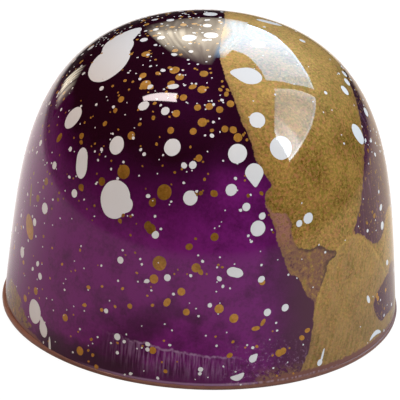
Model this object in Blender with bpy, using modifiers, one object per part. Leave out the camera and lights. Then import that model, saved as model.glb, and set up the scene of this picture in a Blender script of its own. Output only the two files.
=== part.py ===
"""A moulded chocolate bonbon: a tall round dome of painted chocolate, closed
underneath by a thin layer of plain chocolate that shows as a brown foot.

Metres, +Z up. The origin is the centre of the flat underside, and -Y is the
front. Run it with blender --background --python part.py, or from the text editor.
"""

import math

import bpy
import numpy as np

MM = 0.001

# Driving dimensions of the mould's cavity.
BASE_RADIUS = 15.0 * MM
HEIGHT = 22.35 * MM
WALL_TAPER = 0.117  # share of its radius that the wall loses on the way up, for release
SHOULDER_POWER = 4.1  # how late the wall turns over into the shoulder
CROWN_POWER = 2.7  # how flat the crown is; 2 would be elliptical

# The closing layer of chocolate, scraped level with the mould.
FOOT_HEIGHT = 0.55 * MM
FOOT_OVERHANG = 0.06 * MM  # it stands this far outside the painted wall
FOOT_LIP = 0.2 * MM  # rounding of its upper edge
FOOT_CHAMFER = 0.12 * MM  # its lower edge, where it was scraped
SQUEEZE_OUT = 0.12 * MM  # extra lip where the chocolate pressed out under the mould
SQUEEZE_BEARING = math.radians(-78)  # from the front, towards +X
SQUEEZE_SPREAD = math.radians(24)

SHELL_EDGE = 0.1 * MM  # rounding of the painted shell's lower edge
MESH_GAP = 0.3 * MM  # kept between two solids that touch

SEGMENTS = 96  # around
SHELL_RINGS = 30  # from the crown to the foot
EDGE_STEPS = 4  # along a rounded edge
WELD = 0.01 * MM

SHELL_PURPLE = (0.085, 0.008, 0.095, 1.0)
CHOCOLATE_BROWN = (0.085, 0.026, 0.014, 1.0)


def clear_scene():
    for obj in list(bpy.data.objects):
        bpy.data.objects.remove(obj, do_unlink=True)


def coat(name, colour, roughness):
    """A Principled material of one colour."""
    material = bpy.data.materials.new(name)
    material.use_nodes = True
    shader = material.node_tree.nodes["Principled BSDF"]
    shader.inputs["Base Color"].default_value = colour
    shader.inputs["Roughness"].default_value = roughness
    shader.inputs["Metallic"].default_value = 0.0
    return material


def dome_radius(z):
    """The cavity's radius at height z: a drafted wall that turns over into a crown."""
    share = min(z / HEIGHT, 1.0)
    wall = BASE_RADIUS * (1.0 - WALL_TAPER * share)
    return wall * (1.0 - share**SHOULDER_POWER) ** (1.0 / CROWN_POWER)


def dome_profile(lowest, rings):
    """Points (radius, height) at even steps along the dome, crown first."""
    fine = 2000
    angles = np.linspace(math.pi / 2, math.asin(lowest / HEIGHT), fine)
    heights = HEIGHT * np.sin(angles)
    radii = np.array([dome_radius(z) for z in heights])
    steps = np.hypot(np.diff(radii), np.diff(heights))
    run = np.concatenate([[0.0], np.cumsum(steps)])
    stops = np.linspace(0.0, run[-1], rings + 1)
    return list(zip(np.interp(stops, run, radii), np.interp(stops, run, heights)))


def quarter_round(radius, height, size, start):
    """An edge rounding that turns through a quarter, from angle start downwards."""
    turns = [start - math.pi / 2 * i / EDGE_STEPS for i in range(EDGE_STEPS + 1)]
    return [(radius + size * math.cos(a), height + size * math.sin(a)) for a in turns]


def turned(name, profile, material, collection):
    """A solid of revolution about Z, from a profile that starts and ends on the axis."""
    mesh = bpy.data.meshes.new(name)
    points = [(radius, 0.0, height) for radius, height in profile]
    mesh.from_pydata(points, [(i, i + 1) for i in range(len(points) - 1)], [])
    obj = bpy.data.objects.new(name, mesh)
    collection.objects.link(obj)
    screw = obj.modifiers.new("turn", "SCREW")
    screw.angle = 2 * math.pi
    screw.steps = SEGMENTS
    screw.render_steps = SEGMENTS
    screw.use_merge_vertices = True
    screw.merge_threshold = WELD
    screw.use_smooth_shade = True
    mesh.materials.append(material)
    return obj


def baked(obj):
    """Replaces obj's mesh by the one that its modifiers make."""
    graph = bpy.context.evaluated_depsgraph_get()
    mesh = bpy.data.meshes.new_from_object(obj.evaluated_get(graph))
    obj.modifiers.clear()
    obj.data = mesh
    return obj


def painted_shell(collection):
    """The dome down to the foot, with its filling inside: nothing of that shows."""
    floor = FOOT_HEIGHT + MESH_GAP
    profile = dome_profile(floor + SHELL_EDGE, SHELL_RINGS)
    rim = profile[-1][0]
    profile += quarter_round(rim - SHELL_EDGE, floor + SHELL_EDGE, SHELL_EDGE, 0.0)[1:]
    profile.append((0.0, floor))
    return turned("painted_shell", profile, coat("painted_cocoa_butter", SHELL_PURPLE, 0.1), collection)


def squeeze_out(bearing):
    """How far the foot's lip is pressed out at a bearing from the front."""
    away = math.remainder(bearing - SQUEEZE_BEARING, 2 * math.pi)
    return SQUEEZE_OUT * math.exp(-((away / SQUEEZE_SPREAD) ** 2))


def chocolate_foot(collection):
    """The closing layer: a level disc with a rounded lip, wider where it pressed out."""
    rim = BASE_RADIUS + FOOT_OVERHANG
    profile = [(0.0, FOOT_HEIGHT)]
    profile += quarter_round(rim - FOOT_LIP, FOOT_HEIGHT - FOOT_LIP, FOOT_LIP, math.pi / 2)
    profile += [(rim, FOOT_CHAMFER), (rim - FOOT_CHAMFER, 0.0), (0.0, 0.0)]
    foot = turned("chocolate_foot", profile, coat("plain_chocolate", CHOCOLATE_BROWN, 0.45), collection)
    baked(foot)
    for vertex in foot.data.vertices:
        x, y, _ = vertex.co
        reach = math.hypot(x, y)
        if reach > rim - 2 * FOOT_LIP:
            swell = 1.0 + squeeze_out(math.atan2(x, -y)) / reach
            vertex.co.x *= swell
            vertex.co.y *= swell
    foot.data.set_sharp_from_angle(angle=math.radians(40))
    return foot


def main():
    clear_scene()
    bonbon = bpy.data.collections.new("chocolate_bonbon")
    bpy.context.scene.collection.children.link(bonbon)
    painted_shell(bonbon)
    chocolate_foot(bonbon)


main()
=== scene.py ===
"""A moulded chocolate bonbon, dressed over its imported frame.

Dark purple cocoa butter, a broad swath of gold and a splatter of white and gold
drops went into the mould first, then chocolate and filling, and last the plain
layer that closes it underneath. Turned out, all the paint lies flush under one gloss.
"""

import math

import bpy
import numpy as np
from mathutils import Matrix, Vector


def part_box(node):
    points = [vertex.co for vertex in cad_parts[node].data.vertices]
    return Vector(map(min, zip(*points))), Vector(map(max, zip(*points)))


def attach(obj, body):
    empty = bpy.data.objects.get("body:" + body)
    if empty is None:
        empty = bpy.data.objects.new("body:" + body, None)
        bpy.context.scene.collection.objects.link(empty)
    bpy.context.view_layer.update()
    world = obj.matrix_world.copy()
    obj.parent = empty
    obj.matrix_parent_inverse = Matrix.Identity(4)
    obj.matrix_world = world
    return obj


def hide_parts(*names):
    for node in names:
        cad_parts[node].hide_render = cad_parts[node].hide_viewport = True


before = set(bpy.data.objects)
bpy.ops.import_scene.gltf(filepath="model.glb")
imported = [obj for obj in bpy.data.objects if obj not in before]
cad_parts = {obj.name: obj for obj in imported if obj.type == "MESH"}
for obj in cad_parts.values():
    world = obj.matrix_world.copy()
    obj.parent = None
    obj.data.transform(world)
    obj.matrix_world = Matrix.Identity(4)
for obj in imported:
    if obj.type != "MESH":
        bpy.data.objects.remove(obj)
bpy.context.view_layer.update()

MM = 0.001
shell_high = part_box("painted_shell")[1]
foot_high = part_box("chocolate_foot")[1]


def placed(name, data):
    """A new object of the scene."""
    obj = bpy.data.objects.new(name, data)
    bpy.context.scene.collection.objects.link(obj)
    return obj


# ---------------------------------------------------------------- camera
# A long lens looks down on the bonbon's front, a little over a hand's length away,
# aimed below its middle and held slightly off level.

CAMERA_DISTANCE = 14.77 * shell_high.z
CAMERA_TARGET = Vector((0, 0, 0.537 * shell_high.z))
LOOK_DOWN = math.radians(23.81)
CAMERA_ROLL = math.radians(2.31)
AIM_BELOW = math.radians(0.544)
AIM_LEFT = math.radians(0.078)
LENS = 393.3
FILM_WIDTH = 36
NEAREST, FURTHEST = 0.05, 20

back = Vector((0, -math.cos(LOOK_DOWN), math.sin(LOOK_DOWN)))
target_seen = Vector((math.tan(AIM_LEFT), math.tan(AIM_BELOW), -1))
turn = back.to_track_quat("Z", "Y").to_matrix()
turn = turn @ Matrix.Rotation(CAMERA_ROLL, 3, "Z")
turn = turn @ target_seen.rotation_difference(Vector((0, 0, -1))).to_matrix()

camera = placed("camera", bpy.data.cameras.new("camera"))
camera.data.sensor_width = FILM_WIDTH
camera.data.lens = LENS
camera.data.clip_start = NEAREST
camera.data.clip_end = FURTHEST
camera.matrix_world = Matrix.Translation(CAMERA_TARGET + CAMERA_DISTANCE * back) @ turn.to_4x4()
bpy.context.scene.camera = camera

# ---------------------------------------------------------------- painted shell
# The chocolate shell as it leaves the mould: a drafted wall that turns over into a
# flat crown, with the mould's own gloss. Its paint is a few hundredths of a millimetre
# thick, so the colours are bounded by lines in one smooth skin.

WALL_TAPER = 0.117
SHOULDER_POWER = 4.1
CROWN_POWER = 2.7
FOOT_OVERHANG = 0.06 * MM
BASE_RADIUS = foot_high.x - FOOT_OVERHANG
DOME_HEIGHT = shell_high.z
SKIN_BOTTOM = 0.25 * foot_high.z  # the skin runs down inside the foot's lip
DOME_SEGMENTS = 360
DOME_RINGS = 170
RIPPLE = 0.003 * MM
RIPPLE_SCALE = 0.35  # ripples for each millimetre
WELD = 1e-7


class Level:
    """One output of a node, worked with like a number: each operator adds its node."""

    def __init__(self, recipe, socket):
        self.recipe = recipe
        self.socket = socket

    def __add__(self, other):
        return self.recipe.maths("ADD", self, other)

    def __sub__(self, other):
        return self.recipe.maths("SUBTRACT", self, other)

    def __rsub__(self, other):
        return self.recipe.maths("SUBTRACT", other, self)

    def __mul__(self, other):
        return self.recipe.maths("MULTIPLY", self, other)

    def __truediv__(self, other):
        return self.recipe.maths("DIVIDE", self, other)

    def __rtruediv__(self, other):
        return self.recipe.maths("DIVIDE", other, self)

    def __pow__(self, other):
        return self.recipe.maths("POWER", self, other)

    __radd__ = __add__
    __rmul__ = __mul__

    def rise(self, low, high):
        """0 at low, 1 at high, smooth between them; low may be the larger."""
        settings = {"interpolation_type": "SMOOTHSTEP"}
        return self.recipe.node("ShaderNodeMapRange", settings, {0: self, 1: low, 2: high})

    def run(self, low, high):
        """0 at low, 1 at high, in a straight run between them."""
        return self.recipe.node("ShaderNodeMapRange", None, {0: self, 1: low, 2: high})

    def also(self, output):
        """Another output of the same node."""
        return Level(self.recipe, self.socket.node.outputs[output])


class Recipe:
    """A node tree being written: a coat of paint, or a shape."""

    def __init__(self, tree):
        self.tree = tree
        self.tree.nodes.clear()

    def node(self, kind, settings=None, values=None, output=0):
        """Adds a node: its settings first, then the values or links of its sockets."""
        made = self.tree.nodes.new(kind)
        for name, setting in (settings or {}).items():
            setattr(made, name, setting)
        for key, value in (values or {}).items():
            for one in value if isinstance(value, list) else [value]:
                if isinstance(one, Level):
                    self.tree.links.new(one.socket, made.inputs[key])
                else:
                    made.inputs[key].default_value = one
        return Level(self, made.outputs[output]) if made.outputs else None

    def maths(self, operation, *values):
        return self.node("ShaderNodeMath", {"operation": operation}, dict(enumerate(values)))

    def vector(self, operation, *values, output=0):
        settings = {"operation": operation}
        return self.node("ShaderNodeVectorMath", settings, dict(enumerate(values)), output)

    def scaled(self, vector, factor):
        return self.node("ShaderNodeVectorMath", {"operation": "SCALE"}, {0: vector, "Scale": factor})

    def mix(self, share, first, second):
        """The first colour, or the second where share is 1."""
        values = {0: share, 6: first, 7: second}
        return self.node("ShaderNodeMix", {"data_type": "RGBA"}, values, output=2)

    def parts(self, vector):
        """A vector's X; its Y and Z come by also()."""
        return self.node("ShaderNodeSeparateXYZ", None, {0: vector})

    def joined(self, x, y, z):
        return self.node("ShaderNodeCombineXYZ", None, {0: x, 1: y, 2: z})

    def noise(self, place, scale, detail=2.0, roughness=0.5):
        values = {"Vector": place, "Scale": scale, "Detail": detail, "Roughness": roughness}
        return self.node("ShaderNodeTexNoise", None, values)

    def mark(self, name):
        """A number that the mesh carries at each of its points."""
        return self.node("ShaderNodeAttribute", {"attribute_name": name}, output=2)

    def place(self):
        """The point's place on the bonbon, in millimetres."""
        return self.scaled(self.node("ShaderNodeTexCoord", output=3), 1 / MM)

    def finish(self, values):
        """The surface itself, from the sockets of the shader."""
        surface = self.node("ShaderNodeBsdfPrincipled", None, values)
        self.node("ShaderNodeOutputMaterial", None, {"Surface": surface})


def finish_named(name):
    """A new material and the recipe of its nodes."""
    material = bpy.data.materials.new(name)
    material.use_nodes = True
    return material, Recipe(material.node_tree)


def shape_tree(name, inputs):
    """A Geometry Nodes tree with named inputs: its recipe, and a Level for each input."""
    tree = bpy.data.node_groups.new(name, "GeometryNodeTree")
    for label, kind in inputs.items():
        tree.interface.new_socket(label, in_out="INPUT", socket_type="NodeSocket" + kind)
    tree.interface.new_socket("Geometry", in_out="OUTPUT", socket_type="NodeSocketGeometry")
    recipe = Recipe(tree)
    taken = recipe.node("NodeGroupInput")
    return recipe, {label: taken.also(label) for label in inputs}


def close_tree(recipe, geometry, material):
    """Ends a shape: instances made real, smooth, and one material on all of it."""
    real = recipe.node("GeometryNodeRealizeInstances", None, {"Geometry": geometry})
    smooth = recipe.node("GeometryNodeSetShadeSmooth", None, {"Geometry": real})
    dressed = recipe.node("GeometryNodeSetMaterial", None, {"Geometry": smooth, "Material": material})
    recipe.node("NodeGroupOutput", None, {"Geometry": dressed})
    return recipe.tree


def grown(name, start, tree, values):
    """A piece: the mesh that a shape tree makes from a starting mesh and its values."""
    piece = placed(name, start)
    modifier = piece.modifiers.new(tree.name, "NODES")
    modifier.node_group = tree
    for item in tree.interface.items_tree:
        if item.in_out == "INPUT" and item.name in values:
            modifier[item.identifier] = values[item.name]
    graph = bpy.context.evaluated_depsgraph_get()
    mesh = bpy.data.meshes.new_from_object(piece.evaluated_get(graph))
    piece.modifiers.clear()
    piece.data = mesh
    mesh.name = name
    return piece


def wound_sheet(recipe, segments, rows):
    """A sheet to wind into a closed form, with the bearing and the row of each point."""
    values = {"Size X": 1, "Size Y": 1, "Vertices X": segments + 1, "Vertices Y": rows + 1}
    grid = recipe.node("GeometryNodeMeshGrid", None, values)
    sheet = recipe.node("GeometryNodeFlipFaces", None, {"Mesh": grid})
    spot = recipe.parts(recipe.node("GeometryNodeInputPosition"))
    bearing = (spot + 0.5) * (2 * math.pi)
    row = (spot.also("Y") + 0.5) * rows
    return sheet, bearing, row


def dome_tree():
    """The shell's skin, wound from the crown to its lower edge and closed underneath."""
    recipe, given = shape_tree("dome", {
        "Base Radius": "Float", "Height": "Float", "Wall Taper": "Float", "Shoulder Power": "Float",
        "Crown Power": "Float", "Bottom": "Float", "Segments": "Int", "Rings": "Int",
        "Ripple": "Float", "Ripple Scale": "Float", "Material": "Material"})
    height, rings, crown_power = given["Height"], given["Rings"], given["Crown Power"]
    under_rows = 2
    sheet, bearing, row = wound_sheet(recipe, given["Segments"], rings + under_rows)
    run = recipe.maths("MINIMUM", row / rings, 1)
    under = recipe.maths("MAXIMUM", (row - rings) / under_rows, 0)
    widest = recipe.maths("ARCCOSINE", given["Bottom"] / height)
    share = recipe.maths("COSINE", widest * run ** (crown_power / 2))
    radius = given["Base Radius"] * (1 - given["Wall Taper"] * share)
    radius = radius * (1 - share ** given["Shoulder Power"]) ** (1 / crown_power)
    radius = radius * (1 - under)
    x = radius * recipe.maths("SINE", bearing)
    y = radius * recipe.maths("COSINE", bearing)
    values = {"Geometry": sheet, "Position": recipe.joined(x, 0 - y, height * share)}
    dome = recipe.node("GeometryNodeSetPosition", None, values)
    dome = recipe.node("GeometryNodeMergeByDistance", None, {"Geometry": dome, "Distance": WELD})
    spot = recipe.scaled(recipe.node("GeometryNodeInputPosition"), 1 / MM)
    swell = (recipe.noise(spot, given["Ripple Scale"], 1.0) - 0.5) * given["Ripple"]
    swell = recipe.scaled(recipe.node("GeometryNodeInputNormal"), swell)
    dome = recipe.node("GeometryNodeSetPosition", None, {"Geometry": dome, "Offset": swell})
    return close_tree(recipe, dome, given["Material"])


# Places on the skin are given on a map of the unrolled dome, in millimetres from the
# crown: x to the right, y towards the front. Its rim, 31 mm out, is the lower edge.
# Beyond the rim the map runs on straight down, so that an outline may leave the skin.
MAP_STEPS = 4001
NUDGE = 0.05 * MM  # this far down the skin gives the way down it
TENSION = 0.4  # how far an outline rounds its corners

map_shares = np.clip(np.cos(np.linspace(0, math.pi / 2, MAP_STEPS)), 0, 1)
map_heights = DOME_HEIGHT * map_shares
map_radii = BASE_RADIUS * (1 - WALL_TAPER * map_shares)
map_radii = map_radii * (1 - map_shares**SHOULDER_POWER) ** (1 / CROWN_POWER)
map_radii = np.append(map_radii, map_radii[-1])
map_heights = np.append(map_heights, -DOME_HEIGHT)
map_strides = np.hypot(np.diff(map_radii), np.diff(map_heights))
map_reaches = np.concatenate([[0], np.cumsum(map_strides)])


def skin_place(x, y):
    """Points on the skin for points on the map, with the ways round it and down it there."""
    x, y = np.asarray(x, float) * MM, np.asarray(y, float) * MM
    reach = np.hypot(x, y)
    bearing = np.arctan2(x, y)
    radius = np.interp(reach, map_reaches, map_radii)
    height = np.interp(reach, map_reaches, map_heights)
    further = np.interp(reach + NUDGE, map_reaches, map_radii) - radius
    lower = np.interp(reach + NUDGE, map_reaches, map_heights) - height
    outward = np.stack([np.sin(bearing), -np.cos(bearing)])
    down = np.concatenate([outward * further, lower[None]])
    down = (down / np.linalg.norm(down, axis=0)).T
    around = np.stack([np.cos(bearing), np.sin(bearing), 0 * bearing], 1)
    points = np.stack([*(outward * radius), height], 1)
    return points, around, down


def drawn(corners, step=0.12):
    """A smooth closed line through corners on the map, as close-set points."""
    corners = np.array(corners, float)
    line = []
    for i in range(len(corners)):
        before, start, end, after = (corners[(i + k) % len(corners)] for k in (-1, 0, 1, 2))
        count = max(2, int(np.linalg.norm(end - start) / step))
        t = np.arange(count)[:, None] / count
        lean_in, lean_out = TENSION * (end - before), TENSION * (after - start)
        line.append((2 * t**3 - 3 * t**2 + 1) * start + (3 * t**2 - 2 * t**3) * end
                    + (t**3 - 2 * t**2 + t) * lean_in + (t**3 - t**2) * lean_out)
    return np.concatenate(line)


def depth_inside(outline, map_x, map_y, points):
    """How far in from an outline each point of the skin lies, in mm; negative outside it."""
    line = drawn(outline)
    edge = skin_place(line[:, 0], line[:, 1])[0]
    nearest = np.full(len(points), np.inf)
    for spot in edge:
        nearest = np.minimum(nearest, ((points - spot) ** 2).sum(1))
    inside = np.zeros(len(points), bool)
    for (x1, y1), (x2, y2) in zip(line, np.roll(line, -1, 0)):
        if y1 != y2:
            crossed = (y1 > map_y) != (y2 > map_y)
            inside ^= crossed & (map_x < x1 + (map_y - y1) * (x2 - x1) / (y2 - y1))
    return np.where(inside, 1, -1) * np.sqrt(nearest) / MM


# The gold runs down from the crown as one swath with an open lobe round the right side,
# and on over the crown and down the back. The patch in its lobe is bare.
GOLD_SWATH = [
    (14, 28.6), (15.2, 27), (15.8, 25), (15.8, 23.2), (15.1, 21.6), (14.5, 20.5), (13, 20.5),
    (11.6, 19.8), (10.2, 20), (9.1, 19.2), (7.9, 18.3), (7.1, 17.2), (5.9, 16.1), (5.6, 15.2),
    (6, 14.5), (5.2, 13.9), (4.2, 13), (3.6, 11.8), (2.6, 10.3), (1.9, 8.5), (1.3, 7), (0.9, 5.2),
    (0.7, 3.8), (0.8, 1), (1, -2), (1, -5.4), (1.8, -9), (1, -13), (-1.5, -17), (-3.5, -21),
    (-2.4, -26), (-4, -31), (-4, -38), (9, -38), (8, -31), (9.5, -27), (7.2, -22), (9, -17), (11, -12),
    (10.6, -7), (10.3, -3), (11, -0.5), (12.3, 2), (13.2, 3.6), (14.3, 5.6), (15.3, 8), (16.3, 10.5),
    (16.6, 12.6), (17.4, 12), (18.5, 11.3), (19.6, 10.7), (20.5, 9.9), (21.2, 8.6), (21.4, 7.4),
    (21.1, 6.2), (20.9, 4.6), (21.2, 3), (22.3, 1.2), (24.5, -1), (26.5, -3.5), (29.5, -6), (32, -6.5),
    (38, -8), (40, 4), (34, 20), (22, 32), (12, 36), (8.4, 31.5), (8.2, 30), (10, 29.3), (12.2, 29.1)]
BARE_PATCH = [
    (25.3, 5.4), (25.1, 7.4), (24.5, 10.2), (24.1, 12), (24.3, 13), (25.3, 12.7), (26.9, 11.6),
    (28, 8.8), (29, 5.8), (29, 3.4), (28, 1.8), (26.4, 2.2)]
# A thin dab low on the left, which never gets far in from its own edge.
DAB_DEPTH = 0.05
RIM_DAB = [
    (-30.6, 3), (-29, 4.4), (-27.4, 6.6), (-26.6, 9.4), (-26, 12), (-25.9, 14.2), (-25.2, 16),
    (-26.4, 15), (-28.2, 11.8), (-29.2, 9.6), (-30.6, 7.4)]
# Between the swath's two strokes the gold is only a thin bruise-brown smear.
THIN_GOLD = [
    (5, 15.6), (6.6, 16.3), (8.2, 16), (8.8, 16.4), (9.6, 17.4), (10.4, 17.7), (11.6, 17.3),
    (12.8, 16.4), (14.1, 16), (15.3, 15.4), (15.2, 16.2), (14.6, 17.1), (14.9, 18.2), (14.7, 20),
    (14.9, 21.3), (13, 21.6), (11.6, 20.9), (10.2, 21), (8.6, 20.2), (6.8, 18.4), (5, 16.8)]
# The last stroke, in front, is laid over the others.
FRONT_STROKE = [
    (15.2, 15.8), (15.4, 14.8), (16.2, 13.3), (17.1, 12.4), (18.3, 11.6), (19.6, 10.9), (21.5, 9.9),
    (26, 8), (36, 10), (30, 25), (20, 34), (10, 34), (12, 28), (15, 24), (15, 21), (14.7, 19),
    (14.3, 17.5)]

# Cocoa butter colours, and the bare chocolate's at the lip.
DARK_PURPLE = (0.017, 0.0018, 0.0070, 1)
BRIGHT_PURPLE = (0.138, 0.0090, 0.113, 1)
DUSKY_PURPLE = (0.062, 0.016, 0.034, 1)
SCUFFED_PURPLE = (0.036, 0.011, 0.022, 1)
PALE_LILAC = (0.30, 0.17, 0.27, 1)
DARK_GOLD = (0.150, 0.082, 0.010, 1)
BRIGHT_GOLD = (0.540, 0.298, 0.068, 1)
COPPER_GOLD = (0.500, 0.190, 0.075, 1)
GREEN_GOLD = (0.245, 0.195, 0.026, 1)
SPARK_GOLD = (0.720, 0.470, 0.110, 1)
BRUSHED_GOLD = (0.350, 0.205, 0.082, 1)
DULL_GOLD = (0.220, 0.120, 0.042, 1)
CROWN_SHEEN_GOLD = (0.620, 0.440, 0.190, 1)
BRUISED = (0.200, 0.092, 0.052, 1)
PINK_BRUISED = (0.330, 0.145, 0.100, 1)
LIP_BROWN = (0.170, 0.066, 0.050, 1)
LIP_BEAD_HIGHLIGHT = (0.330, 0.215, 0.230, 1)
BRUISE_RIM = (0.060, 0.028, 0.022, 1)

# The mould's gloss lies over all of it.
GLOSS = {"Coat Weight": 1, "Coat Roughness": 0.035, "Specular IOR Level": 0}
# The painted glint and bead highlights over the lip run at this height.
LIP_LINE = 0.42  # how high the pale line over the lip runs, in millimetres


class Spot:
    """What the paint goes by at a point: its place and height in millimetres, its bearing in
    degrees from the front and to the right, a fine grain, and waves along the foot."""

    def __init__(self, recipe):
        self.place = recipe.place()
        parts = recipe.parts(self.place)
        self.height = parts.also("Z")
        self.bearing = recipe.maths("ARCTAN2", parts, 0 - parts.also("Y")) * (180 / math.pi)
        self.fine = recipe.noise(self.place, 3.2, 4, 0.6)
        self.waves = recipe.noise(recipe.joined(self.bearing * 0.16, 0, 0), 1, 3, 0.6)


def gold_colour(recipe, place):
    """Gold dust in cocoa butter: fine flakes, redder and greener by turns, darker towards the
    foot, and paler and brighter on the crown, where a painted sheen stands in for the glare."""
    height = recipe.parts(place).also("Z")
    flakes = recipe.noise(place, 5.2, 3, 0.65)
    clouds = recipe.noise(place, 0.45, 3)
    colour = recipe.mix((flakes + (clouds - 0.5) * 0.55).run(0.34, 0.66), DARK_GOLD, BRIGHT_GOLD)
    for shift, other_gold in (((31, 17, 5), COPPER_GOLD), ((-13, 7, 29), GREEN_GOLD)):
        turned = recipe.noise(recipe.vector("ADD", place, shift), 4, 2, 0.6).run(0.48, 0.68)
        colour = recipe.mix(turned * 0.75, colour, other_gold)
    sparks = recipe.noise(recipe.vector("ADD", place, (3, -9, 14)), 7.5, 1).rise(0.64, 0.74)
    colour = recipe.mix(sparks * 0.5, colour, SPARK_GOLD)
    # Painted sheen: the gold is brightened and paled towards the crown, where the glare of the windows
    # lies; it is also darker towards the foot.
    level = 0.62 + height.rise(1.5, 8) * 0.22 - height.rise(11, 13) * 0.1
    colour = recipe.mix(height.rise(16, 21) * 0.15, colour, CROWN_SHEEN_GOLD)
    return recipe.scaled(colour, level + height.rise(16, 19) * 0.1 + height.rise(19, 22) * 0.32)


def purple_colour(recipe, at):
    """Airbrushed purple: near black round the shoulder, brightest on the front and at the
    far left, dusky on the right, with a darker trail slanting down to the left."""
    height, bearing = at.height, at.bearing
    clouds = recipe.noise(at.place, 0.3, 4, 0.6) - 0.5
    wisps = recipe.noise(at.place, 0.7, 5, 0.65) - 0.5
    grain = recipe.noise(at.place, 4.5, 3, 0.7) - 0.5

    from_dark = height - bearing.rise(-10, 12) * 1.4 - bearing.rise(-52, -74) * 1.6
    from_dark = from_dark + clouds * 2.6 + wisps * 1.6
    beside_gold = height.rise(13.4, 14.8) * height.rise(17, 16) * bearing.rise(0, 7)
    # Lighter on the crown: partly the pigment, partly painted sheen of the glare that lies there.
    on_crown = height.rise(16.5, 21) * bearing.rise(-40, 0) * bearing.rise(175, 120)
    glow = from_dark.run(17.2, 10.4) + beside_gold * 0.35 + on_crown * 0.12
    far_left = bearing.rise(-46, -62) * bearing.rise(-160, -100)
    glow = glow * (1 - bearing.rise(-12, -24) * 0.16 + far_left * 0.65 - bearing.rise(10, 28) * 0.6)

    off_trail = recipe.maths("ABSOLUTE", bearing + 10 + (5.7 - height) * 3.7 + clouds * 22 + wisps * 8)
    trail = off_trail.rise(14, 3) * height.rise(7.6, 5.8) * height.rise(0, 2)
    low = (height + wisps * 2).rise(6.5, 4.5) * bearing.rise(9, -3) * bearing.rise(-46, -26)
    bottom = (height + wisps * 1.5).rise(2.5, 0.9) * bearing.rise(-14, -24)
    glow = glow * (1 - trail * 0.5) * (1 - low * 0.16) * (1 - bottom * 0.68)
    glow = glow * (1 + clouds * 0.8 + wisps * 1.9 + grain * 1.1)

    dusky = bearing.rise(20, 34) * bearing.rise(178, 150) * height.rise(20, 17.5)
    return recipe.mix(dusky, recipe.mix(glow, DARK_PURPLE, BRIGHT_PURPLE), DUSKY_PURPLE)


def frayed_band(recipe, at, purple):
    """Low on the front the purple pulled thin in upright streaks, under a pale wavy line."""
    band = at.bearing.rise(-32, -12) * at.bearing.rise(14, 6)
    line = 2.75 - at.bearing * 0.028 + (at.waves - 0.5) * 1.1
    streaks = recipe.noise(recipe.joined(at.bearing * 1.5, at.height * 0.5, 3), 1, 2, 0.6)
    fading = (line - at.height).rise(-0.03, 0.05) * band * at.height.rise(0.4, 1.6)
    purple = recipe.mix(fading * streaks.rise(0.5, 0.34) * 0.5, purple, DARK_PURPLE)
    purple = recipe.mix(fading * streaks.rise(0.42, 0.7) * 0.62, purple, PALE_LILAC)
    on_line = recipe.maths("ABSOLUTE", line - at.height).rise(0.14, 0.03)
    return recipe.mix(on_line * band * at.fine.rise(0.3, 0.6) * 0.75, purple, PALE_LILAC)


def rubbed_foot(recipe, at, purple):
    """The lowest millimetres are rubbed: dull on the front, speckled with lilac right of it
    where some gold was dragged along, and with a painted glint of the rim's edge over the lip."""
    height, bearing, fine = at.height, at.bearing, at.fine
    scuffed = (height + (fine - 0.5) * 2.4).rise(2.6, 0.9)
    scuffed = scuffed * bearing.rise(-62, -45) * bearing.rise(26, 4)
    purple = recipe.mix(scuffed * 0.5, purple, SCUFFED_PURPLE)
    specks = recipe.noise(at.place, 3.4, 4, 0.75)
    speckled = height.rise(4.5, 1.5) * bearing.rise(2, 14) * bearing.rise(44, 26)
    purple = recipe.mix(specks.rise(0.46, 0.34) * speckled * 0.7, purple, SCUFFED_PURPLE)
    purple = recipe.mix(specks.rise(0.53, 0.7) * speckled * 0.8, purple, PALE_LILAC)
    dragged = (height + (fine - 0.5) * 2).rise(1.9, 0.9) * bearing.rise(14, 20) * bearing.rise(36, 28)
    purple = recipe.mix(dragged * fine.rise(0.4, 0.6) * 0.7, purple, DULL_GOLD)
    # Painted highlight: a pale line where the rim's edge catches the light.
    glint = recipe.maths("ABSOLUTE", height - LIP_LINE).rise(0.15, 0.04)
    glint = glint * bearing.rise(-40, -22) * bearing.rise(24, 12)
    return recipe.mix(glint * 0.7, purple, PALE_LILAC)


def dusted_side(recipe, at, purple, gold):
    """On the right side the purple is drawn down in pale streaks and dusted with gold."""
    side = at.bearing.rise(46, 56) * at.bearing.rise(120, 100)
    drawn_down = recipe.noise(recipe.joined(at.bearing * 0.6, at.height * 0.25, 8), 1, 3, 0.6)
    purple = recipe.mix(drawn_down.rise(0.5, 0.75) * side * 0.22, purple, PALE_LILAC)
    dust = recipe.noise(at.place, 2.8, 3, 0.7).rise(0.56, 0.66)
    return recipe.mix(dust * side * 0.6, purple, gold)


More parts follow.
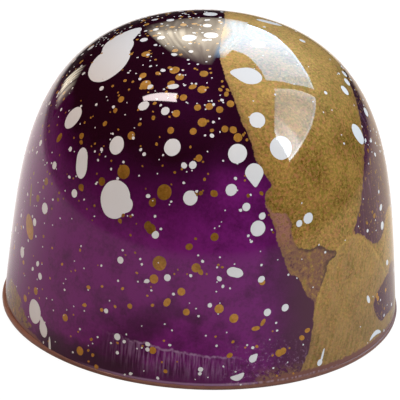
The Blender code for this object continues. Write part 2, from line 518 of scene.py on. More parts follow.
def gold_strokes(recipe, at, gold, gold_depth):
    """The last stroke is brushed and has a light rim. Between the strokes the gold is only
    rubbed over bruised purple, with a dab of it low down, and it thins along its edge."""
    height, bearing = at.height, at.bearing
    worn = recipe.noise(at.place, 3.4, 4, 0.7)
    stroke = recipe.mark("stroke_depth") + (worn - 0.5) * 0.4
    slanted = recipe.joined(bearing * 0.7 - height, height * 0.3 + bearing * 0.04, 0)
    brushed = recipe.noise(slanted, 1.3, 3, 0.6).rise(0.35, 0.65) * 0.4 + 0.1
    gold = recipe.mix(stroke.rise(-0.05, 0.3) * brushed, gold, BRUSHED_GOLD)
    gold = recipe.mix(stroke.rise(0.3, 0.1) * stroke.rise(-0.1, 0.05) * 0.18, gold, SPARK_GOLD)

    thin = recipe.mark("thin_depth") + (recipe.noise(at.place, 1.6, 3, 0.6) - 0.5) * 0.6
    bruise = recipe.mix(height.rise(10, 12), BRUISED, PINK_BRUISED)
    bruise = recipe.mix(worn.run(0.48, 0.66) * 0.9, bruise, gold)
    bruise = recipe.mix(worn.run(0.46, 0.3) * 0.8, bruise, DUSKY_PURPLE)
    dabbed = (gold_depth + (worn - 0.5) * 1.2).rise(1.7, 0.9)
    dabbed = dabbed * bearing.rise(25, 27) * bearing.rise(33.5, 32) * height.rise(8.4, 7.6)
    bruise = recipe.mix(dabbed, bruise, gold)
    rim = thin.rise(0.4, 0.1) * gold_depth.rise(0.9, 1.6)
    bruise = recipe.mix(rim * 0.75, bruise, BRUISE_RIM)
    gold = recipe.mix(thin.rise(-0.04, 0.1), gold, bruise)
    return recipe.mix(gold_depth.rise(0.45, 0.0) * 0.3, gold, BRUISED)


def bare_lip(recipe, at, colour):
    """Bare chocolate along the foot, higher on both sides than in front, with a row of painted
    bead highlights right of the front, where the lip's beaded edge catches the light."""
    height, bearing = at.height, at.bearing
    lip = 0.3 + bearing.rise(14, 26) * 0.5 + bearing.rise(-46, -58) * 0.55 + (at.fine - 0.5) * 0.5
    colour = recipe.mix((height - lip).rise(0.08, -0.08), colour, LIP_BROWN)
    # Painted highlights on the beads of the lip's edge.
    beads = recipe.noise(recipe.joined(bearing * 0.9, 0, 11), 1, 2).rise(0.42, 0.6)
    on_line = recipe.maths("ABSOLUTE", height - LIP_LINE - (at.waves - 0.5) * 0.3).rise(0.13, 0.04)
    bead_highlight = on_line * bearing.rise(5, 12) * bearing.rise(48, 36) * beads
    return recipe.mix(bead_highlight * 0.8, colour, LIP_BEAD_HIGHLIGHT)


def shell_finish():
    """Purple with the gold swath over it, frayed and rubbed towards the foot."""
    material, recipe = finish_named("painted_cocoa_butter")
    at = Spot(recipe)
    gold_depth = recipe.mark("gold_depth")
    gold = gold_colour(recipe, at.place)
    purple = purple_colour(recipe, at)
    beside_gold = gold_depth.rise(-3, -0.3) * at.height.rise(15, 17.5)
    purple = recipe.mix(beside_gold * 0.75, purple, DARK_PURPLE)
    purple = frayed_band(recipe, at, purple)
    purple = rubbed_foot(recipe, at, purple)
    purple = dusted_side(recipe, at, purple, gold)
    gold = gold_strokes(recipe, at, gold, gold_depth)
    ragged = gold_depth + (recipe.noise(at.place, 1.7, 4, 0.65) - 0.5) * 0.5
    laid = ragged.rise(-0.05, 0.05)
    colour = bare_lip(recipe, at, recipe.mix(laid, purple, gold))
    recipe.finish({
        "Base Color": colour, "Roughness": 0.5 - laid * 0.05, "Metallic": laid * 0.15, **GLOSS})
    return material


shell = grown("painted_dome", bpy.data.meshes.new("painted_dome"), dome_tree(), {
    "Base Radius": BASE_RADIUS, "Height": DOME_HEIGHT, "Wall Taper": WALL_TAPER,
    "Shoulder Power": SHOULDER_POWER, "Crown Power": CROWN_POWER, "Bottom": SKIN_BOTTOM,
    "Segments": DOME_SEGMENTS, "Rings": DOME_RINGS, "Ripple": RIPPLE, "Ripple Scale": RIPPLE_SCALE,
    "Material": shell_finish()})

skin = np.empty(3 * len(shell.data.vertices))
shell.data.vertices.foreach_get("co", skin)
skin = skin.reshape(-1, 3)
skin_reach = np.interp(-skin[:, 2], -map_heights, map_reaches) / MM
skin_bearing = np.arctan2(skin[:, 0], -skin[:, 1])
skin_x, skin_y = skin_reach * np.sin(skin_bearing), skin_reach * np.cos(skin_bearing)


def mark_skin(name, values):
    """Keeps a number for every point of the skin in its mesh."""
    shell.data.attributes.new(name, "FLOAT", "POINT").data.foreach_set("value", values.astype(np.float32))


gold_depth = depth_inside(GOLD_SWATH, skin_x, skin_y, skin)
gold_depth = np.minimum(gold_depth, -depth_inside(BARE_PATCH, skin_x, skin_y, skin))
dab_depth = np.minimum(depth_inside(RIM_DAB, skin_x, skin_y, skin), DAB_DEPTH)
gold_depth = np.maximum(gold_depth, dab_depth)
mark_skin("gold_depth", gold_depth)
mark_skin("thin_depth", depth_inside(THIN_GOLD, skin_x, skin_y, skin))
mark_skin("stroke_depth", depth_inside(FRONT_STROKE, skin_x, skin_y, skin))

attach(shell, "root")
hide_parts("painted_shell")

# ---------------------------------------------------------------- white and gold drops
# White and gold cocoa butter flicked into the mould off a brush: a few broad spots, many
# small ones and a fine mist. They set against the mould, so they end flush with the skin.

DROP_LIFT = 0.012 * MM
GOLD_DROP_LIFT = 0.7 * DROP_LIFT  # where the two cross, the white lies over the gold
BROAD_FROM = 0.5 * MM  # in half length
BROAD_CUT = (60, 10)  # sides and rows of a broad drop
SMALL_CUT = (12, 2)
EDGE_POWER = 8  # a drop is flat on top, and drops away this sharply at its edge
EDGE_DIP = 1.4  # to below the skin, in heights of the drop
UNDERSIDE = -1
LENS_WELD = 0.001  # in half lengths, as the other measures of a drop's form are
WOBBLE_SCALE = 0.9
WOBBLE_APART = 3 / MM  # so that every drop has a wobble of its own
WAIST_TIGHTNESS = 6.25
POINT_FROM = -0.2  # where a drop starts to draw to its point
POINT_REACH = 0.3  # how much further the point goes
BEND_MIDDLE = 0.4  # keeps a bent drop's middle where it was laid

# Each: x, y on the map, half length and half width in mm, the way it points in degrees
# round from the right, its waist, its bend and how far it draws to a point. The last
# of these may be left out: a drop is then nearly round, or plain.
PLAIN_DROP = (0, 0, 0.3, None, 60, 0, 0, 0)
ROUNDNESS = 0.93
LAID_WOBBLE = 0.06  # how uneven the outline is
STREWN_WOBBLE = 0.22
NARROWEST = 0.74  # a strewn drop's least width, as a share of its length
POINTED = 0.35  # half of the strewn drops draw to a point, up to this far
WHITE_LAID = [
    (-7.75, 3.1, 2.15, 1.82, 70), (-7.1, 1.4, 1.9, 1.38, 85), (-6.75, 0, 2.0, 1.25, 47, 0, 0, 0.3),
    (-11.3, 11, 1.2, 0.64, 66, 0.08), (-11.35, 6.7, 1.0, 0.75, 10), (-8.6, 15.2, 1.5, 1.28, 60),
    (-7.6, 15.9, 0.65), (-7.6, 11.3, 0.72, 0.62), (-5, 8.9, 0.5, 0.4, 20), (-3.3, 9.7, 0.38),
    (-2.7, 7.6, 0.5, 0.27, 0), (-2.8, 12.6, 0.68), (-1.3, 16.4, 0.58), (-1.6, 1.3, 0.6),
    (-3.7, 1.1, 0.35), (-5, 1.1, 0.35), (-3.1, -2.5, 0.35), (-9.4, -1.3, 0.35), (-14.5, 8.9, 0.33),
    (-12.9, 12.7, 0.35), (-1.1, 14, 0.33), (3.9, 10, 0.66), (6.2, 11.5, 0.95, 0.9), (2.6, 12.9, 0.77),
    (4.3, 14.1, 0.85, 0.75, -73, 0, 0, 0.55), (2.4, 15.6, 0.5), (2.8, 6.1, 1.2, 0.95, 175, 0, 0, 0.35),
    (3.5, 1.6, 0.65), (0, 0.7, 0.6), (-0.3, -1.2, 0.4), (4.4, -3.9, 1.05, 0.48, 0), (-0.1, -4.1, 0.6),
    (7, -1.5, 0.3), (11, 2.4, 0.5, 0.42, 0), (11.2, 0.7, 0.42), (10.9, -0.4, 0.35), (13.8, 1.4, 0.45),
    (13.25, 5.35, 0.95, 0.6, 0), (5.5, 17.9, 0.62), (5.7, 16.9, 0.3), (4, 16.6, 0.35),
    (3.8, 21.6, 0.64, 0.42, 0, 0.1), (7, 21.5, 0.32, 0.28), (10.5, 15.3, 0.48), (9.7, 16.1, 0.3),
    (8.6, 23.7, 0.33), (10.8, 22.6, 0.33), (7.9, 27.6, 0.42, 0.34, 45, 0, 0, 0.5),
    (6, 29.5, 0.55, 0.25, 20, 0, 0.35), (20.8, 7.1, 0.38), (22.9, 13.8, 0.42, 0.2, 10),
    (26.7, 13.7, 1.0, 0.2, 62, 0, -0.3), (18.2, 23.9, 0.3, 0.25, 80), (18.3, 23.2, 0.6, 0.1, 95),
    (-23.8, 15.8, 0.97, 0.85), (-23, 18.3, 0.76, 0.5, 80, 0, 0, 0.4), (-17.3, 10.8, 0.48),
    (-23.3, 9.2, 0.48), (-19.5, 10.1, 0.33), (-21.1, 14.5, 0.3), (-9.2, 19.8, 0.3), (-4.9, 18.8, 0.33),
    (-3.9, 22.2, 0.3), (-11.3, 25.4, 0.3), (-22.6, 20.5, 0.8, 0.12, 62), (19.5, 6.5, 0.35, 0.26, 80),
    (24.3, 7, 0.36, 0.24, 60)]
GOLD_LAID = [
    (-4.8, 7, 0.5), (-2.6, 5.9, 0.45), (-4.8, 3.4, 0.4), (-13.2, 7.2, 0.45, 0.28, 10),
    (-3.7, 15.8, 0.6), (-7.3, 13.5, 0.55), (-9.6, 13.4, 0.35), (-16.1, 9.1, 0.33), (-1.9, 8.7, 0.32),
    (-2.9, 11.3, 0.3), (0.9, 9.7, 0.32), (1.4, 11.2, 0.3), (-0.4, 10.8, 0.4), (-0.8, 9.6, 0.3),
    (-0.6, 13.5, 0.3), (-20.6, 9.4, 1.06, 0.66, 80), (-19, 7.4, 0.9, 0.16, 50), (-5.3, 18.3, 0.45),
    (-4.7, 21, 0.58), (-5.5, 22.1, 0.4), (-4.9, 16.4, 0.33), (-0.6, 21.6, 0.4), (-2.3, 23.4, 0.35),
    (-17.5, 24.1, 0.38), (-22.6, 14.7, 0.33), (-18.7, 20.4, 0.33), (-6.4, 27.6, 0.32), (-1.7, 25, 0.3),
    (2.4, 24.6, 0.4), (4.4, 25.1, 0.4), (1.2, 19.2, 0.35), (12, 25.8, 0.32), (7.5, 25.3, 0.36, 0.2, 20),
    (8.3, 24.6, 0.34, 0.17, 62), (-2.2, 6.7, 0.38), (-5, 6, 0.32), (-0.4, 6.4, 0.38), (-0.5, 8, 0.4),
    (0.1, 9.5, 0.33), (1.7, 9.1, 0.33), (-1.1, 11.5, 0.3), (2.5, 11.7, 0.38), (-6.2, 11, 0.35),
    (-6.8, 7.7, 0.3), (-1.4, 20, 0.32, 0.27, 20), (-5.6, 18, 0.4, 0.3, 60), (-0.1, 21.9, 0.3, 0.2, -50),
    (-4.1, 24.1, 0.4, 0.27, 40)]


def unit_drop(recipe, sides, rows):
    """One drop as a lens: its places across and along, and its height, are kept as "lens"."""
    sheet, bearing, row = wound_sheet(recipe, sides, rows + 1)
    out = recipe.maths("SQRT", recipe.maths("MINIMUM", row / rows, 1))
    level = 1 - EDGE_DIP * out ** EDGE_POWER
    below = recipe.maths("MAXIMUM", row - rows, 0)
    out = out * (1 - below)
    along = out * recipe.maths("COSINE", bearing)
    across = out * recipe.maths("SINE", bearing)
    lens = recipe.joined(along, across, level + below * (UNDERSIDE - 1 + EDGE_DIP))
    drop = recipe.node("GeometryNodeSetPosition", None, {"Geometry": sheet, "Position": lens})
    drop = recipe.node("GeometryNodeMergeByDistance", None, {"Geometry": drop, "Distance": LENS_WELD})
    return kept(recipe, drop, "lens", recipe.node("GeometryNodeInputPosition"))


def kept(recipe, geometry, name, vector):
    """Keeps a vector with every point, under a name."""
    settings = {"data_type": "FLOAT_VECTOR", "domain": "POINT"}
    values = {"Geometry": geometry, "Name": name, "Value": vector}
    return recipe.node("GeometryNodeStoreNamedAttribute", settings, values)


def read(recipe, name, kind="FLOAT_VECTOR"):
    """What was kept under a name."""
    return recipe.node("GeometryNodeInputNamedAttribute", {"data_type": kind}, {"Name": name})


def chance(recipe, low, high, seed):
    """A number between low and high, another for every point."""
    values = {2: low, 3: high, 8: seed}
    return recipe.node("FunctionNodeRandomValue", {"data_type": "FLOAT"}, values, output=1)


def splatter_tree():
    """Drops laid one by one and drops strewn by chance, shaped and pressed onto the skin."""
    recipe, given = shape_tree("splatter", {
        "Laid Drops": "Geometry", "Skin": "Object", "Density Mark": "String", "Drops Per Area": "Float",
        "Smallest": "Float", "Largest": "Float", "Rarity": "Float", "Broad From": "Float",
        "Lift": "Float", "Seed": "Int", "Material": "Material"})
    skin = recipe.node("GeometryNodeObjectInfo", None, {"Object": given["Skin"]}, output="Geometry")
    way_out = recipe.node("GeometryNodeInputNormal")

    def skin_normal(spot):
        values = {"Mesh": skin, "Value": way_out, "Sample Position": spot}
        return recipe.node("GeometryNodeSampleNearestSurface", {"data_type": "FLOAT_VECTOR"}, values)

    seed = given["Seed"]
    density = read(recipe, given["Density Mark"], "FLOAT") * given["Drops Per Area"]
    strewn = recipe.node("GeometryNodeDistributePointsOnFaces", {"distribute_method": "RANDOM"},
                         {"Mesh": skin, "Density": density, "Seed": seed})
    spread = 1 - (given["Smallest"] / given["Largest"]) ** given["Rarity"]
    size = given["Smallest"] * (1 - chance(recipe, 0, 1, seed + 1) * spread) ** (-1 / given["Rarity"])
    width = size * chance(recipe, NARROWEST, 1, seed + 2)
    pointed = chance(recipe, -POINTED, POINTED, seed + 3)
    strewn = kept(recipe, strewn, "half", recipe.joined(size, width, 0))
    strewn = kept(recipe, strewn, "form", recipe.joined(0, pointed, STREWN_WOBBLE))
    any_way = recipe.joined(chance(recipe, -1, 1, seed + 4), chance(recipe, -1, 1, seed + 5),
                            chance(recipe, -1, 1, seed + 6))
    here = recipe.node("GeometryNodeInputPosition")
    any_way = recipe.vector("NORMALIZE", recipe.vector("CROSS_PRODUCT", any_way, skin_normal(here)))
    strewn = kept(recipe, strewn, "along", any_way)

    drops = recipe.node("GeometryNodeJoinGeometry", None, {"Geometry": [given["Laid Drops"], strewn]})
    drops = kept(recipe, drops, "centre", recipe.node("GeometryNodeInputPosition"))
    is_broad = recipe.maths("GREATER_THAN", recipe.parts(read(recipe, "half")), given["Broad From"])
    is_small = 1 - is_broad
    sizes = []
    for which, cut in ((is_broad, BROAD_CUT), (is_small, SMALL_CUT)):
        values = {"Points": drops, "Selection": which, "Instance": unit_drop(recipe, *cut)}
        sizes.append(recipe.node("GeometryNodeInstanceOnPoints", None, values))
    drops = recipe.node("GeometryNodeJoinGeometry", None, {"Geometry": sizes})
    drops = recipe.node("GeometryNodeRealizeInstances", None, {"Geometry": drops})

    # The lens is stretched, pinched at its waist and towards its point, and bent sideways.
    lens, half, form = (recipe.parts(read(recipe, name)) for name in ("lens", "half", "form"))
    centre, along = read(recipe, "centre"), read(recipe, "along")
    p, q = lens, lens.also("Y")
    waist, point, wobble = form, recipe.maths("MAXIMUM", form.also("Y"), 0), form.also("Z")
    ragged = recipe.vector("ADD", recipe.scaled(centre, WOBBLE_APART), recipe.joined(p, q, 0))
    swell = 1 + wobble * 2 * (recipe.noise(ragged, WOBBLE_SCALE, 1.0) - 0.5)
    narrow = 1 - waist * recipe.maths("EXPONENT", -WAIST_TIGHTNESS * p * p)
    narrow = narrow * (1 - point * p.rise(POINT_FROM, 1))
    ahead = recipe.maths("MAXIMUM", p, 0)
    go_along = (p + POINT_REACH * point * ahead * ahead) * half * swell
    bend = half.also("Z") * half * (p * p - BEND_MIDDLE)
    go_across = q * narrow * half.also("Y") * swell + bend
    across = recipe.vector("CROSS_PRODUCT", skin_normal(centre), along)
    flat = recipe.vector("ADD", centre, recipe.vector("ADD", recipe.scaled(along, go_along),
                                                      recipe.scaled(across, go_across)))
    settings = {"target_element": "FACES"}
    pressed = recipe.node("GeometryNodeProximity", settings, {"Geometry": skin, "Sample Position": flat})
    raised = recipe.scaled(skin_normal(flat), lens.also("Z") * given["Lift"])
    drops = kept(recipe, drops, "skin_normal", skin_normal(flat))
    values = {"Geometry": drops, "Position": recipe.vector("ADD", pressed, raised)}
    return close_tree(recipe, recipe.node("GeometryNodeSetPosition", None, values), given["Material"])


def laid_drops(name, drops):
    """The listed drops as marked points on the skin."""
    full = np.array([drop + PLAIN_DROP[len(drop):] for drop in drops], float)
    x, y, length, width, way, waist, bend, point = full.T
    width = np.where(np.isnan(width), length * ROUNDNESS, width)
    points, around, down = skin_place(x, y)
    way, bearing = np.radians(way), np.arctan2(x, y)
    stretch = np.linalg.norm(points[:, :2], axis=1) / np.maximum(np.hypot(x, y) * MM, WELD)
    dx, dy = np.cos(way), -np.sin(way)
    go_down = dx * np.sin(bearing) + dy * np.cos(bearing)
    go_round = (dx * np.cos(bearing) - dy * np.sin(bearing)) * stretch
    along = go_down[:, None] * down + go_round[:, None] * around
    along /= np.linalg.norm(along, axis=1)[:, None]
    mesh = bpy.data.meshes.new(name)
    mesh.from_pydata(points.tolist(), [], [])
    wobble = np.full(len(x), LAID_WOBBLE)
    marks = {"half": (length * MM, width * MM, bend), "form": (waist, point, wobble), "along": along.T}
    for mark, values in marks.items():
        kept_mark = mesh.attributes.new(mark, "FLOAT_VECTOR", "POINT")
        kept_mark.data.foreach_set("vector", np.stack(values, 1).astype(np.float32).ravel())
    return mesh


def lie_flush(piece):
    """The drops shade as the skin they lie in."""
    mesh = piece.data
    normals = np.empty(3 * len(mesh.vertices), np.float32)
    mesh.attributes["skin_normal"].data.foreach_get("vector", normals)
    mesh.normals_split_custom_set_from_vertices(normals.reshape(-1, 3).tolist())
    for name in ("skin_normal", "lens", "half", "form", "along", "centre"):
        mesh.attributes.remove(mesh.attributes[name])


WALL_WHITE = (0.61, 0.60, 0.575, 1)
CROWN_WHITE = (0.70, 0.685, 0.64, 1)
AMBER = (0.56, 0.225, 0.022, 1)


def white_finish():
    """White cocoa butter, a little darker down the wall than on the crown."""
    material, recipe = finish_named("white_drops")
    place = recipe.place()
    tone = recipe.parts(place).also("Z").rise(15, 20) + recipe.noise(place, 1.2, 3) * 0.3
    colour = recipe.mix(tone, WALL_WHITE, CROWN_WHITE)
    recipe.finish({"Base Color": colour, "Roughness": 0.5, **GLOSS})
    return material


def gold_drop_finish():
    """The same gold, which over the purple looks amber, and dull where it is thinnest."""
    material, recipe = finish_named("gold_drops")
    place = recipe.place()
    height = recipe.parts(place).also("Z")
    amber = recipe.mix(0.5, gold_colour(recipe, place), AMBER)
    tone = 0.52 + height.rise(14, 18) * 0.36 + height.rise(11, 7) * 0.46
    colour = recipe.scaled(amber, tone + (recipe.noise(place, 1.1, 4, 0.6) - 0.5) * 0.85)
    recipe.finish({"Base Color": colour, "Roughness": 0.45, "Metallic": 0.15, **GLOSS})
    return material


# The drops crowd towards the crown, by how far from it they are in millimetres. Gold ones
# don't show on the gold swath, and few white ones landed there.
CROWDED_AT = (0, 8, 14, 22, 31.2)
CROWDED = (2.2, 1.8, 1.2, 0.7, 0.6)
SPARED = 0.8
SWATH_EDGE = 0.3  # the width of the swath's edge, over which that change takes place

on_gold = np.clip(gold_depth / SWATH_EDGE + 0.5, 0, 1)
crowding = np.interp(skin_reach, CROWDED_AT, CROWDED)
mark_skin("white_splash", crowding * (1 - SPARED * on_gold))
mark_skin("gold_splash", crowding * (1 - on_gold))

splatter = splatter_tree()
laid_white = laid_drops("white_drops", WHITE_LAID)
laid_gold = laid_drops("gold_drops", GOLD_LAID)
white_drops = grown("white_drops", laid_white, splatter, {
    "Skin": shell, "Density Mark": "white_splash", "Drops Per Area": 0.54e6, "Smallest": 0.06 * MM,
    "Largest": 0.28 * MM, "Rarity": 1.9, "Broad From": BROAD_FROM, "Lift": DROP_LIFT, "Seed": 11,
    "Material": white_finish()})
gold_drops = grown("gold_drops", laid_gold, splatter, {
    "Skin": shell, "Density Mark": "gold_splash", "Drops Per Area": 0.42e6, "Smallest": 0.08 * MM,
    "Largest": 0.34 * MM, "Rarity": 1.5, "Broad From": BROAD_FROM, "Lift": GOLD_DROP_LIFT, "Seed": 29,
    "Material": gold_drop_finish()})
for drops in (white_drops, gold_drops):
    lie_flush(drops)
    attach(drops, "root")

# ---------------------------------------------------------------- chocolate foot
# The plain chocolate that closes the mould, scraped level with it. Its lip shows as a
# brown line round the foot, beaded where it pulled free and pressed out on the left; the
# beads' highlights are painted on the shell's skin.

FOOT_SEGMENTS = 720
FOOT_RIM = BASE_RADIUS + FOOT_OVERHANG
SQUEEZE_OUT = 0.12 * MM
SQUEEZE_BEARING = math.radians(-78)
SQUEEZE_SPREAD = math.radians(24)
LIP_SHARE = 0.62  # of the foot's whole height, in front and behind
SIDE_RISE = 0.2
WAVINESS = 0.06
RAGGED_EDGE = 0.01 * MM
WAVE_COUNTS = (5, 9, 14, 23, 37, 58, 91)
UNDER_SKIN = 0.6  # the top's middle lies lower, hidden in the dome
SHARP = math.radians(50)

# The foot's profile from its top to its underside: shares of its reach and of its height.
FOOT_PROFILE = [(0.5, 0.999), (0.97, 1), (0.993, 0.97), (0.999, 0.85), (1, 0.6), (0.9985, 0.3),
                (0.992, 0), (0.97, 0), (0.5, 0)]

bearings = np.arange(FOOT_SEGMENTS) * 2 * math.pi / FOOT_SEGMENTS
away = np.angle(np.exp(1j * (bearings - SQUEEZE_BEARING)))
squeezed = np.exp(-((away / SQUEEZE_SPREAD) ** 2))
lip_top = foot_high.z * (LIP_SHARE + (1 - LIP_SHARE) * squeezed + SIDE_RISE * np.sin(bearings) ** 2)
rng = np.random.default_rng(5)
waves = sum(rng.uniform(0.2, 1) / count**0.5 * np.sin(count * bearings + rng.uniform(0, 6.28))
            for count in WAVE_COUNTS)
lip_top = np.minimum(lip_top * (1 + WAVINESS * waves), foot_high.z)
reach_out = FOOT_RIM + SQUEEZE_OUT * squeezed - RAGGED_EDGE * np.abs(waves)
rings = [np.stack([outward * reach_out * np.sin(bearings), -outward * reach_out * np.cos(bearings),
                   upward * lip_top], 1) for outward, upward in FOOT_PROFILE]
foot_points = np.concatenate([*rings, [[0, 0, foot_high.z * UNDER_SKIN]], [[0, 0, 0]]])
top, bottom = len(foot_points) - 2, len(foot_points) - 1
last = (len(rings) - 1) * FOOT_SEGMENTS
sides = [(i, (i + 1) % FOOT_SEGMENTS) for i in range(FOOT_SEGMENTS)]
faces = [(above + i, above + FOOT_SEGMENTS + i, above + FOOT_SEGMENTS + j, above + j)
         for above in range(0, last, FOOT_SEGMENTS) for i, j in sides]
for i, j in sides:
    faces.extend([(top, i, j), (bottom, last + j, last + i)])
foot_mesh = bpy.data.meshes.new("closing_layer")
foot_mesh.from_pydata(foot_points.tolist(), [], faces)
foot_mesh.shade_smooth()
foot_mesh.set_sharp_from_angle(angle=SHARP)

DARK_CHOCOLATE = (0.13, 0.045, 0.030, 1)
MILK_CHOCOLATE = (0.27, 0.112, 0.072, 1)
PRESSED_CHOCOLATE = (0.36, 0.16, 0.10, 1)
SCRAPED_RELIEF = 0.02 * MM


def chocolate_finish():
    """Satin milk chocolate, clouded, and paler at the left where it was pressed out thin."""
    material, recipe = finish_named("plain_chocolate")
    place = recipe.place()
    colour = recipe.mix(recipe.noise(place, 1.6, 4, 0.6), DARK_CHOCOLATE, MILK_CHOCOLATE)
    colour = recipe.mix(recipe.parts(place).rise(-9, -14) * 0.5, colour, PRESSED_CHOCOLATE)
    bump = recipe.node("ShaderNodeBump", None, {
        "Strength": 0.5, "Distance": SCRAPED_RELIEF, "Height": recipe.noise(place, 5, 4, 0.6)})
    recipe.finish({"Base Color": colour, "Roughness": 0.38, "Normal": bump})
    return material


foot = placed("closing_layer", foot_mesh)
foot_mesh.materials.append(chocolate_finish())
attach(foot, "root")
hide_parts("chocolate_foot")

# ---------------------------------------------------------------- studio
# A small pale board in a dim room, with two tall windows behind it and to the right.
# Glowing cards stand in for the windows, and the gloss mirrors them.

WINDOW_DISTANCE = 0.8
SILL_GLARE = 1.5  # how much brighter a window is along its sill
SILL_SHARE = 0.2  # of the window's height
MOST_SILL = 0.9  # in degrees, as all elevations are
SILL_FADE = 1.5  # its glare is gone this much higher
SKY = (2.9, 4.7, 7.0)
PALE_SKY = (2.4, 3.7, 5.0)
NEAR_SKY = (10.2, 11.4, 13)
LIT_SKY = (4.1, 4.9, 5.7)
SOFT_SKY = (3.4, 4.3, 5.4)
FAR_SKY = (1.4, 2.4, 3.8)
CREAM = (1, 0.88, 0.68)
COLD = (0.58, 0.88, 1.18)
ROSE = (1, 0.84, 0.85)


def card(name, columns):
    """A glowing card round the bonbon: each column gives its bearing from the front and,
    from its lower edge to its upper, elevations in degrees with the glow at each."""
    points, glow = [], []
    for bearing, rows in columns:
        for elevation, strength in rows:
            b, e = math.radians(bearing), math.radians(elevation)
            way = Vector((math.cos(e) * math.sin(b), -math.cos(e) * math.cos(b), math.sin(e)))
            points.append(CAMERA_TARGET + WINDOW_DISTANCE * way)
            glow.extend((*strength, 1))
    high = len(columns[0][1])
    faces = [(i, i + 1, i + high + 1, i + high) for column in range(len(columns) - 1)
             for i in range(column * high, column * high + high - 1)]
    mesh = bpy.data.meshes.new(name)
    mesh.from_pydata(points, [], faces)
    mesh.attributes.new("glow", "FLOAT_COLOR", "POINT").data.foreach_set("color", glow)
    material, recipe = finish_named(name)
    glow_mark = recipe.node("ShaderNodeAttribute", {"attribute_name": "glow"})
    light = recipe.node("ShaderNodeEmission", None, {"Color": glow_mark})
    recipe.node("ShaderNodeOutputMaterial", None, {"Surface": light})
    mesh.materials.append(material)
    obj = placed(name, mesh)
    obj.visible_camera = False


def pane(bearing, low, high, glow_low, glow_high):
    """A column of a window: glaring along its sill, and fading evenly above that."""
    glare = [SILL_GLARE * level for level in glow_low]
    sill = min(MOST_SILL, SILL_SHARE * (high - low))
    over_sill = low + SILL_FADE * sill
    return bearing, [(low, glare), (low + sill, glare), (over_sill, glow_low), (high, glow_high)]


def strip(bearing, elevations, colour, levels):
    """A column of one colour, at a strength for each elevation."""
    return bearing, [(elevation, [level * channel for channel in colour])
                     for elevation, level in zip(elevations, levels)]


# The window behind, from its right jamb to its left. Behind each bearing come the
# elevations of its sill and of its head there.
back_panes = [
    (129.4, 33.9, 34.4), (132.5, 34.1, 46), (136, 34.1, 49.5), (138.8, 33.6, 52.3), (142.7, 33, 56.2),
    (147, 32.3, 54.8), (151.4, 30.8, 53), (156.6, 28.7, 50.3), (161.9, 25.3, 47.2), (165.2, 23, 44.6),
    (167.7, 20.8, 42.3), (170.4, 18.1, 39.6), (173, 16.2, 37.1), (176.1, 14.4, 34.4)]
LAST_PALE = 140
card("back_window", [pane(bearing, low, high, PALE_SKY if bearing < LAST_PALE else SKY, SKY)
                     for bearing, low, high in back_panes])

# Its reveal: cold folds beside the glass, then cream streaks that tear apart to the left.
COLD_EDGE_AT = (12, 16, 20, 23.5, 27, 32, 35.5, 38.5, 43)
COLD_EDGE = (0.25, 0.6, 0.8, 0.9, 1, 1, 0.95, 0.6, 0.2)
STREAK_WIDTH = 0.45
cold_folds = [(176.1, 6.6), (176.6, 5.2), (177, 7), (177.4, 5.2), (177.8, 6.8), (178.4, 4.6)]
reveal = [strip(bearing, COLD_EDGE_AT, COLD, [level * share for share in COLD_EDGE])
          for bearing, level in cold_folds]
torn = [
    (179.2, (12, 16, 20, 23.5, 28, 33, 39, 44, 51), (1.2, 3.2, 4.4, 5.4, 6.6, 5.8, 4.0, 2.0, 0.4)),
    (181, (12, 16, 20.5, 23.5, 28, 33, 39, 44, 51), (0.6, 1.6, 2.2, 4.0, 6.6, 4.6, 3.6, 2.6, 0.6)),
    (183, (12, 16, 21, 23.5, 28, 33, 39, 44, 51), (0.4, 1.2, 1.8, 5.6, 6.2, 4.0, 3.8, 2.4, 0.5)),
    (185, (12, 16, 21, 23.5, 28, 33, 38, 43, 49), (0.3, 1.1, 1.9, 6.0, 6.4, 4.8, 3.0, 1.4, 0.2)),
    (187, (12, 16, 20, 22.5, 27, 32, 37, 41, 46), (0.2, 1.0, 2.2, 5.6, 5.2, 4.6, 2.4, 1.4, 0.1)),
    (188.8, (12, 16, 19, 22, 26, 31, 35, 39, 44), (0, 0.3, 1.2, 3.2, 3.4, 3.8, 2.2, 1.6, 0)),
    (190.4, (14, 17, 20, 22, 25, 29, 33, 37, 42), (0, 0, 0, 0.2, 0.4, 0.4, 0.3, 0, 0))]
torn_bearings, torn_elevations, torn_levels = (np.array(part, float) for part in zip(*torn))
rng = np.random.default_rng(8)
for bearing in np.arange(torn_bearings[0], torn_bearings[-1], STREAK_WIDTH):
    elevations = [np.interp(bearing, torn_bearings, row) for row in torn_elevations.T]
    levels = [np.interp(bearing, torn_bearings, row) for row in torn_levels.T]
    torn_off = rng.uniform(0.72, 1.0) * rng.uniform(0.65, 1.3, len(levels))
    reveal.append(strip(bearing, elevations, CREAM, levels * torn_off))
card("window_reveal", reveal)

# The window on the right, near and glaring at first, and its sunlit far edge.
right_panes = [
    (62, 24.9, 41, NEAR_SKY, NEAR_SKY), (65.5, 25.9, 46, NEAR_SKY, NEAR_SKY),
    (69.8, 27, 49.3, NEAR_SKY, SOFT_SKY), (75, 28.5, 52, NEAR_SKY, SOFT_SKY),
    (80.5, 29.8, 54.2, LIT_SKY, SOFT_SKY), (86.5, 30.9, 55.9, LIT_SKY, FAR_SKY),
    (93.7, 31.9, 57.2, SOFT_SKY, FAR_SKY), (100, 32.8, 58, SOFT_SKY, FAR_SKY),
    (107.5, 33.5, 58.4, FAR_SKY, FAR_SKY), (114, 33.9, 58, FAR_SKY, FAR_SKY),
    (119, 34, 57.6, SOFT_SKY, FAR_SKY), (121.7, 34.4, 57.3, SOFT_SKY, FAR_SKY),
    (124, 41, 57.2, SOFT_SKY, SOFT_SKY), (126, 47.1, 57, SOFT_SKY, SOFT_SKY),
    (127.3, 56, 57, SOFT_SKY, SOFT_SKY)]
card("right_window", [pane(*place) for place in right_panes])
sunlit_edge = [(121.9, 33.6, 34.6, 9), (124.3, 40.6, 42.2, 8), (126.4, 47, 49.6, 5), (127.9, 55.5, 57, 2)]
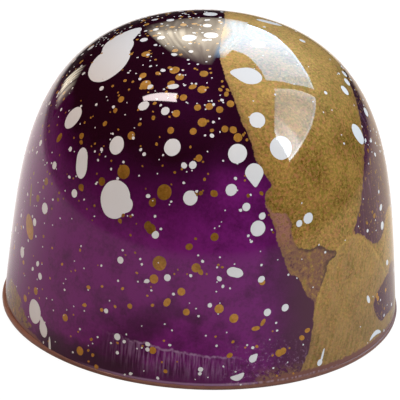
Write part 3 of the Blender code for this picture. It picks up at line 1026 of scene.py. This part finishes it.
card("window_edge", [strip(bearing, (low, high), CREAM, (level, level))
                     for bearing, low, high, level in sunlit_edge])

# A small rosy light in the roof, at the left.
ROOF_LIGHT_TOP = 75
ROOF_GLOW = (18, 22)
lower_rim = [(-115.5, 74), (-111.7, 67), (-107, 62), (-103, 58.4), (-95.4, 58.5), (-92, 65.7), (-82.7, 74)]
card("roof_light", [strip(bearing, (low, ROOF_LIGHT_TOP), ROSE, ROOF_GLOW) for bearing, low in lower_rim])

# A slatted board behind at the left, lit along its slats.
SLAT_ENDS = (-1, 2, 7, 13)
SLAT_LEVELS = (0, 1, 0.8, 0)
slats = [(-150, 0), (-148.6, 6), (-147.6, 1.5), (-146.6, 8), (-145.6, 1.6), (-144.6, 9), (-143.8, 3),
         (-142.8, 6), (-141.8, 1), (-140, 3.5), (-137, 1), (-133, 0)]
card("left_board", [strip(bearing, SLAT_ENDS, CREAM, [level * share for share in SLAT_LEVELS])
                    for bearing, level in slats])

# The board's gloss shows in the bonbon as it lies in the room: bright behind, half lit in
# front, shaded close to the bonbon on the left of the front, and lost at its far edge.
BOARD_RADIUS = 0.16
BOARD_SIDES = 64
SHADE = (-5, -21, 0)  # its middle; the board's places are in millimetres from the bonbon
SHADED = 0.28
EDGE_GLOW = 0.06
LEFT_EDGE_GLOW = 0.26
COOL_TINT = (1.06, 0.96, 0.92, 1)
WARM_TINT = (0.86, 0.71, 0.53, 1)
PALE_BOARD = (0.75, 0.74, 0.73, 1)
WHITE = (1, 1, 1, 1)
SHADOW_GREY = (0.14, 0.14, 0.14, 1)  # this much of the white gives way to shadow
OPEN_WHITE = 0.93

turns = [2 * math.pi * i / BOARD_SIDES for i in range(BOARD_SIDES)]
rim = [(BOARD_RADIUS * math.cos(turn), BOARD_RADIUS * math.sin(turn), 0) for turn in turns]
board_mesh = bpy.data.meshes.new("board")
board_mesh.from_pydata(rim, [], [tuple(range(BOARD_SIDES))])
board_finish, recipe = finish_named("board")
board_finish.cycles.emission_sampling = "NONE"
spot = recipe.place()
across = recipe.parts(spot)
away = recipe.vector("LENGTH", spot, output=1)
backness = across.also("Y") / away
from_shade = recipe.vector("LENGTH", recipe.vector("SUBTRACT", spot, SHADE), output=1)
to_left = across.rise(-30, -70)
fade = away.rise(158, 72)
fade = fade + (away.rise(134, 92) - fade) * to_left
level = (0.42 + backness.rise(-0.3, 0.8) * 0.66) * (SHADED + (1 - SHADED) * from_shade.rise(5, 22))
lowest = EDGE_GLOW + to_left * (LEFT_EDGE_GLOW - EDGE_GLOW)
level = level * (lowest + fade * (1 - lowest))
to_right = across.rise(8, 30) * backness.rise(-0.3, 0.2)
tint = recipe.mix(to_right, COOL_TINT, WARM_TINT)
seen = recipe.node("ShaderNodeLightPath")
lit = recipe.node("ShaderNodeBsdfDiffuse", None, {"Color": PALE_BOARD})
white = recipe.node("ShaderNodeEmission", None, {"Color": WHITE, "Strength": OPEN_WHITE})
faint = recipe.node("ShaderNodeBsdfDiffuse", None, {"Color": SHADOW_GREY})
open_white = recipe.node("ShaderNodeAddShader", None, {0: white, 1: faint})
mirrored = recipe.node("ShaderNodeEmission", None, {"Color": tint, "Strength": level})
lit = recipe.node("ShaderNodeMixShader", None, {0: seen.also("Is Glossy Ray"), 1: lit, 2: mirrored})
both = recipe.node("ShaderNodeMixShader", None, {0: seen, 1: lit, 2: open_white})
recipe.node("ShaderNodeOutputMaterial", None, {"Surface": both})
board_mesh.materials.append(board_finish)
board = placed("board", board_mesh)

# The room lights the bonbon softly from everywhere, more warmly from the left. The gloss
# mirrors it dim, and behind the bonbon it is plain white.
WARM_FILL = (0.54, 0.375, 0.295, 1)
PALE_FILL = (0.79, 0.79, 0.80, 1)
DIM_WALLS = (0.005, 0.004, 0.004, 1)
DARK_FLOOR = (0.04, 0.037, 0.035, 1)
LEFT_FLOOR = (0.11, 0.10, 0.102, 1)

world = bpy.data.worlds.new("room")
world.use_nodes = True
bpy.context.scene.world = world
world.cycles.sampling_method = "NONE"
recipe = Recipe(world.node_tree)
seen = recipe.node("ShaderNodeLightPath")
way = recipe.parts(recipe.node("ShaderNodeTexCoord"))
fill = recipe.mix(way.rise(-0.9, 0.4), WARM_FILL, PALE_FILL)
floor = recipe.mix(way.rise(-0.3, -0.75), DARK_FLOOR, LEFT_FLOOR)
dim = recipe.mix(way.also("Z").rise(0.10, -0.06), DIM_WALLS, floor)
room = recipe.mix(seen.also("Is Diffuse Ray"), dim, fill)
room = recipe.mix(seen, room, WHITE)
light = recipe.node("ShaderNodeBackground", None, {"Color": room, "Strength": 1.0})
recipe.node("ShaderNodeOutputWorld", None, {"Surface": light})

bpy.context.scene.view_settings.view_transform = "Standard"
